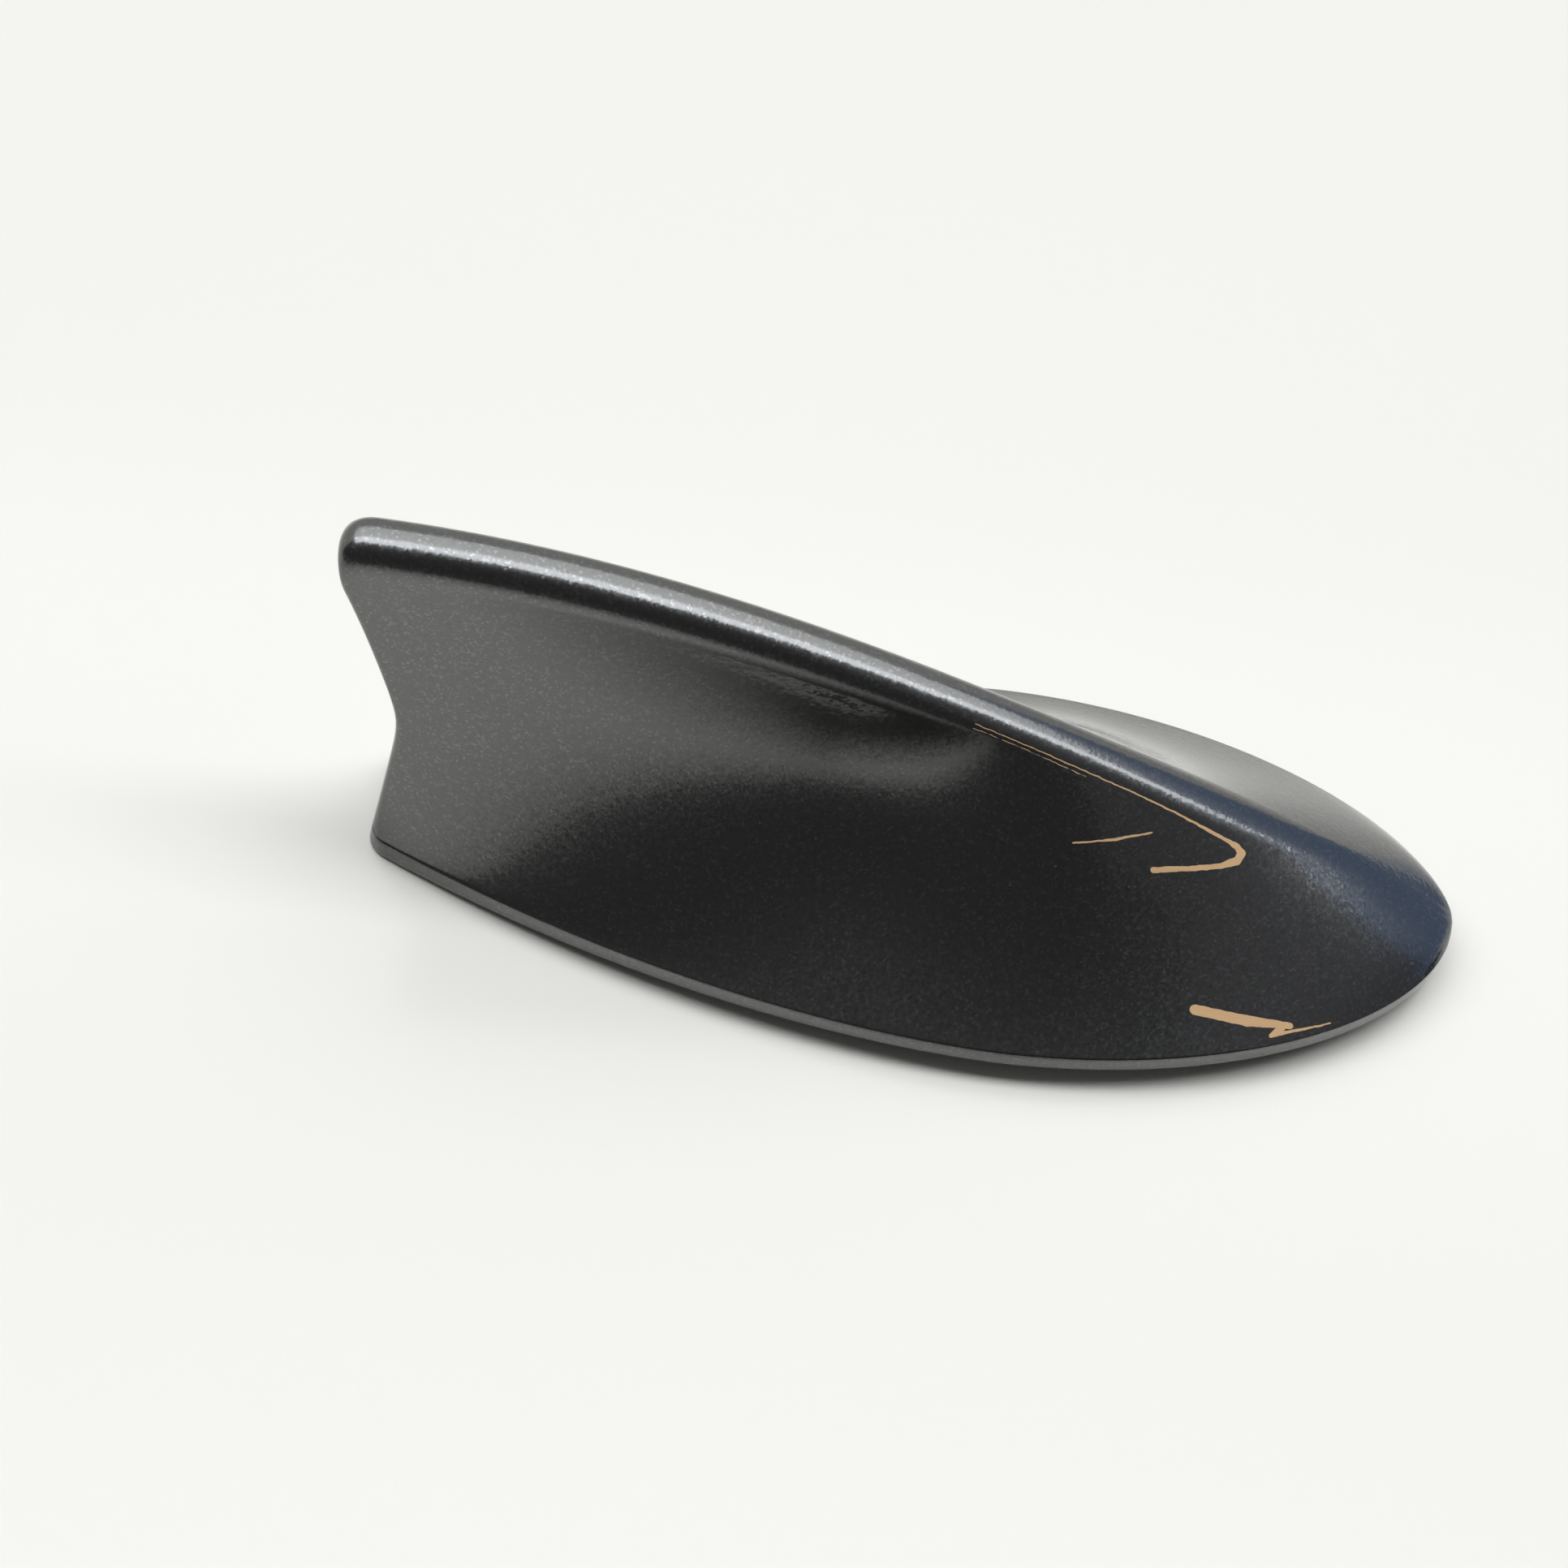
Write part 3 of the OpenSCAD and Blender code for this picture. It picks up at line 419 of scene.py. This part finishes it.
def flake_normal(tree, flakes):
    """The surface's normal, tilted a little at random on each flake."""
    tilt = vector_node(tree, "SUBTRACT", flakes.outputs["Color"], MIDDLE)
    small = vector_node(tree, "SCALE", tilt, FLAKE_TILT)
    normal = tree.nodes.new("ShaderNodeNewGeometry").outputs["Normal"]
    return vector_node(tree, "NORMALIZE", vector_node(tree, "ADD", small, normal))


def flake_colour(tree, flakes):
    """Most flakes near one grey, and a few that are brighter."""
    channels = tree.nodes.new("ShaderNodeSeparateColor")
    tree.links.new(flakes.outputs["Color"], channels.inputs["Color"])
    glint = ramp(tree, channels.outputs["Red"], FLAKE_DARK, FLAKE_BRIGHT)
    glint.color_ramp.elements.new(FLAKE_USUAL).color = (*FLAKE_COLOUR, 1)
    return glint.outputs["Color"]


def car_paint(surface):
    """Dark metallic base whose flakes lie at small random tilts, under a clear coat."""
    mat, tree, bsdf = shader("paint_metallic_grey")
    place = object_place(tree)
    flakes = texture(tree, "ShaderNodeTexVoronoi", place, FLAKE_SCALE)
    dust = texture(tree, "ShaderNodeTexVoronoi", place, DUST_SCALE).outputs["Distance"]
    speck = map_range(tree, dust, (DUST_SIZE, DUST_SIZE / 2), (0.0, DUST_COVER))
    dusty = laid_over(tree, speck, flake_colour(tree, flakes), DUST_COLOUR)
    tan_mark = mark_mask(tree, place, surface)
    clean, unmarked = [math_node(tree, "SUBTRACT", 1.0, share) for share in (speck, tan_mark)]
    peel = texture(tree, "ShaderNodeTexNoise", place, PEEL_SCALE)
    peel.inputs["Detail"].default_value = PEEL_DETAIL
    dress(tree, bsdf, {
        "Base Color": laid_over(tree, tan_mark, dusty, MARK_COLOUR),
        "Metallic": math_node(tree, "MULTIPLY", clean, unmarked),
        "Roughness": math_node(tree, "MULTIPLY_ADD", tan_mark, MARK_ROUGH - PAINT_ROUGH, PAINT_ROUGH),
        "Normal": flake_normal(tree, flakes),
        "Specular Tint": PAINT_TINT,
        "Coat Weight": 1.0,
        "Coat Roughness": COAT_ROUGH,
        "Coat IOR": COAT_IOR,
        "Coat Normal": bumpy(tree, peel.outputs["Fac"], PEEL_STRENGTH),
    })
    return mat


def give(obj, mat):
    obj.data.materials.clear()
    obj.data.materials.append(mat)


verts, faces = cover_mesh()
cover = mesh_object("cover_skin", verts, faces)
give(cover, car_paint(BVHTree.FromPolygons([Vector(v) * MM for v in verts], faces)))
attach(cover, "root")
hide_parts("cover")

RUBBER = plain("rubber_black", (0.018, 0.018, 0.018), 0.75, grain=0.3)
CAST = plain("cast_metal", (0.5, 0.51, 0.52), 0.45, 1.0, grain=0.4, scale=1400)
STEEL = plain("plated_steel", (0.62, 0.62, 0.6), 0.3, 1.0)
BRASS = plain("brass", (0.7, 0.5, 0.2), 0.3, 1.0)
COPPER = plain("copper", (0.75, 0.36, 0.2), 0.25, 1.0)
SILVER = plain("fired_silver", (0.8, 0.8, 0.78), 0.4, 1.0)
BOARD = plain("board_green", (0.02, 0.14, 0.06), 0.35)
CERAMIC = plain("ceramic", (0.6, 0.52, 0.4), 0.6)
BLACK = plain("plastic_black", (0.02, 0.02, 0.02), 0.5)
WHITE = plain("plastic_white", (0.75, 0.75, 0.72), 0.5)
FINISH = {
    "cover_edge_seal": RUBBER, "base_plate": CAST, "base_gasket": RUBBER, "roof_seal": RUBBER,
    "threaded_bush": BRASS, "earth_washer": STEEL, "main_board": BOARD, "board_chips": BLACK,
    "shield_can": STEEL, "satellite_patch": CERAMIC, "patch_silver": SILVER,
    "radio_plate": STEEL, "radio_coil": COPPER, "coil_former": WHITE,
    "telephone_blade": BRASS, "element_carrier": BLACK, "socket_block": BLACK,
    "socket_pins": BRASS, "board_screws": STEEL, "cover_screws": STEEL,
    "vent_membrane": WHITE,
}
for name, mat in FINISH.items():
    give(NODES[name], mat)

# Stage: pale table, soft lamps overhead and cards for the room, which only reflections see
TABLE, TABLE_COLOUR, TABLE_ROUGH, TABLE_SHINE = 1.6, (0.86, 0.865, 0.84), 0.2, 0.4
BACKDROP, CARD_ROUGH = (0.92, 0.93, 0.9), 0.9
ROOM_LIGHT, ROOM_LEVEL = (0.97, 0.98, 0.95), 0.1
FADE_FROM, FADE_TO = 0.17, 0.42
RIM_OVAL, OVAL_START, OVAL_BLEND = (0.095, 0.038), 0.9, 0.2
DIM_ALONG, DIM_ACROSS, DIM_START, DIM_LEAST = -18.0, -12.0, -0.8, 0.04
ARC_STEPS, ARC_ROWS = 13, 9
ROOM, SOFTBOX_HEIGHT, CEILING_HEIGHT = 3.0, 0.9, 0.95
LAMP_COLOUR = (1.0, 1.0, 0.985)


def card(name, corners, colour, glow=0.0, quads=((0, 1, 2, 3),)):
    mesh = bpy.data.meshes.new(name)
    mesh.from_pydata(corners, [], quads)
    obj = bpy.data.objects.new(name, mesh)
    bpy.context.scene.collection.objects.link(obj)
    mat, tree, bsdf = shader(name)
    bsdf.inputs["Base Color"].default_value = (*colour, 1)
    bsdf.inputs["Roughness"].default_value = CARD_ROUGH
    bsdf.inputs["Specular IOR Level"].default_value = 0.0
    if glow:
        bsdf.inputs["Emission Color"].default_value = (*colour, 1)
        bsdf.inputs["Emission Strength"].default_value = glow
    give(obj, mat)
    return obj


def fades_far(tree, place, near):
    """Far from the part, the camera sees the table fade into the backdrop."""
    far = map_range(tree, vector_node(tree, "LENGTH", place), (FADE_FROM, FADE_TO), kind="SMOOTHSTEP")
    seen = tree.nodes.new("ShaderNodeLightPath").outputs["Is Camera Ray"]
    glow = tree.nodes.new("ShaderNodeEmission")
    glow.inputs["Color"].default_value = (*BACKDROP, 1)
    return shader_mix(tree, math_node(tree, "MULTIPLY", far, seen), near, glow.outputs["Emission"])


def dim_in_reflections(tree, place, table):
    """Outside an ellipse round the rim, the near flank mirrors less of the table towards the nose."""
    axes = tree.nodes.new("ShaderNodeSeparateXYZ")
    tree.links.new(place, axes.inputs["Vector"])
    x, y = axes.outputs["X"], axes.outputs["Y"]
    along = math_node(tree, "DIVIDE", math_node(tree, "SUBTRACT", x, WIDEST_X * MM), RIM_OVAL[0])
    across = math_node(tree, "DIVIDE", y, RIM_OVAL[1])
    square = math_node(tree, "MULTIPLY_ADD", along, along, math_node(tree, "MULTIPLY", across, across))
    past = math_node(tree, "SUBTRACT", math_node(tree, "SQRT", square), OVAL_START)
    outside = clamped(tree, math_node(tree, "DIVIDE", past, OVAL_BLEND))
    near = math_node(tree, "MULTIPLY", outside, math_node(tree, "LESS_THAN", y, 0.0))
    sideways = math_node(tree, "MULTIPLY_ADD", y, DIM_ACROSS, DIM_START)
    kept = clamped(tree, math_node(tree, "MULTIPLY_ADD", x, DIM_ALONG, sideways), DIM_LEAST)
    lost = math_node(tree, "MULTIPLY", near, math_node(tree, "SUBTRACT", 1.0, kept))
    glossy = tree.nodes.new("ShaderNodeLightPath").outputs["Is Glossy Ray"]
    return shader_mix(tree, math_node(tree, "MULTIPLY", lost, glossy), table)


def pale_table():
    corners = [(-TABLE, -TABLE, 0), (TABLE, -TABLE, 0), (TABLE, TABLE, 0), (-TABLE, TABLE, 0)]
    tree = card("table", corners, TABLE_COLOUR).active_material.node_tree
    bsdf = tree.nodes["Principled BSDF"]
    dress(tree, bsdf, {"Roughness": TABLE_ROUGH, "Specular IOR Level": TABLE_SHINE})
    place = object_place(tree)
    table = dim_in_reflections(tree, place, fades_far(tree, place, bsdf.outputs["BSDF"]))
    tree.links.new(table, tree.nodes["Material Output"].inputs["Surface"])


def pale_room():
    """Faint light from all round, and the plain backdrop where the camera looks past the table."""
    world = bpy.data.worlds.new("room")
    bpy.context.scene.world = world
    world.use_nodes = True
    tree = world.node_tree
    faint, backdrop = tree.nodes["Background"], tree.nodes.new("ShaderNodeBackground")
    dress(tree, faint, {"Color": (*ROOM_LIGHT, 1), "Strength": ROOM_LEVEL})
    dress(tree, backdrop, {"Color": (*BACKDROP, 1), "Strength": 1.0})
    seen = tree.nodes.new("ShaderNodeLightPath").outputs["Is Camera Ray"]
    room = shader_mix(tree, seen, faint.outputs["Background"], backdrop.outputs["Background"])
    tree.links.new(room, tree.nodes["World Output"].inputs["Surface"])


def unseen(obj):
    obj.visible_camera = False
    obj.visible_diffuse = False
    obj.visible_shadow = False
    obj.visible_transmission = False


def arc_card(name, radius, around, rise, colour, glow=0.0):
    """Part of a sphere round the object, by azimuth and elevation, seen only in reflections."""
    steps = [math.radians(a) for a in np.linspace(*around, ARC_STEPS)]
    rows = [math.radians(a) for a in np.linspace(*rise, ARC_ROWS)]
    ring = [(radius * math.cos(e) * math.sin(a), -radius * math.cos(e) * math.cos(a), radius * math.sin(e))
            for e in rows for a in steps]
    n = len(steps)
    quads = [(i * n + j, i * n + j + 1, (i + 1) * n + j + 1, (i + 1) * n + j)
             for i in range(len(rows) - 1) for j in range(n - 1)]
    unseen(card(name, ring, colour, glow, quads))


def ceiling(name, height, bays, colour, glow):
    """Level card overhead, seen only in reflections; a bay is (x, near y, far y)."""
    corners = [(x, y, height) for x, low, high in bays for y in (low, high)]
    quads = [(2 * i, 2 * i + 2, 2 * i + 3, 2 * i + 1) for i in range(len(bays) - 1)]
    unseen(card(name, corners, colour, glow, quads))


def lamp(name, place, size, power):
    data = bpy.data.lights.new(name, "AREA")
    data.shape = "RECTANGLE"
    data.size, data.size_y = size
    data.energy = power
    data.color = LAMP_COLOUR
    obj = bpy.data.objects.new(name, data)
    bpy.context.scene.collection.objects.link(obj)
    obj.location = place
    obj.rotation_euler = (-Vector(place)).to_track_quat("-Z", "Y").to_euler()
    obj.visible_glossy = False


pale_table()
pale_room()

# Azimuth 0 is the camera's side and 90 is the nose's side
arc_card("front_room", ROOM, (-90, 40), (0, 80), (0.07, 0.07, 0.072), 1.0)
arc_card("side_room", ROOM, (40, 86), (0, 80), (0.13, 0.13, 0.138), 1.0)
arc_card("nose_room", ROOM, (86, 140), (0, 50), (0.2, 0.27, 0.42), 1.0)
arc_card("back_room", ROOM, (140, 270), (0, 50), (0.6, 0.6, 0.59), 1.0)
ceiling("softbox", SOFTBOX_HEIGHT, [(-1.0, -0.27, 0.07), (0.65, -0.27, 0.07), (1.05, -0.12, 0.12),
                                    (1.3, 0.04, 0.22)], (0.93, 0.96, 1.0), 4.2)
ceiling("white_ceiling", CEILING_HEIGHT, [(-1.2, 0.07, 0.95), (0.65, 0.07, 0.95), (1.1, 0.13, 0.85)],
        (0.97, 0.985, 1.0), 1.7)
lamp("lamp_over", (0.0, 0.13, 0.9), (2.2, 0.24), 10.5)
lamp("lamp_behind", (0.0, 0.6, 0.95), (2.2, 0.7), 5.1)
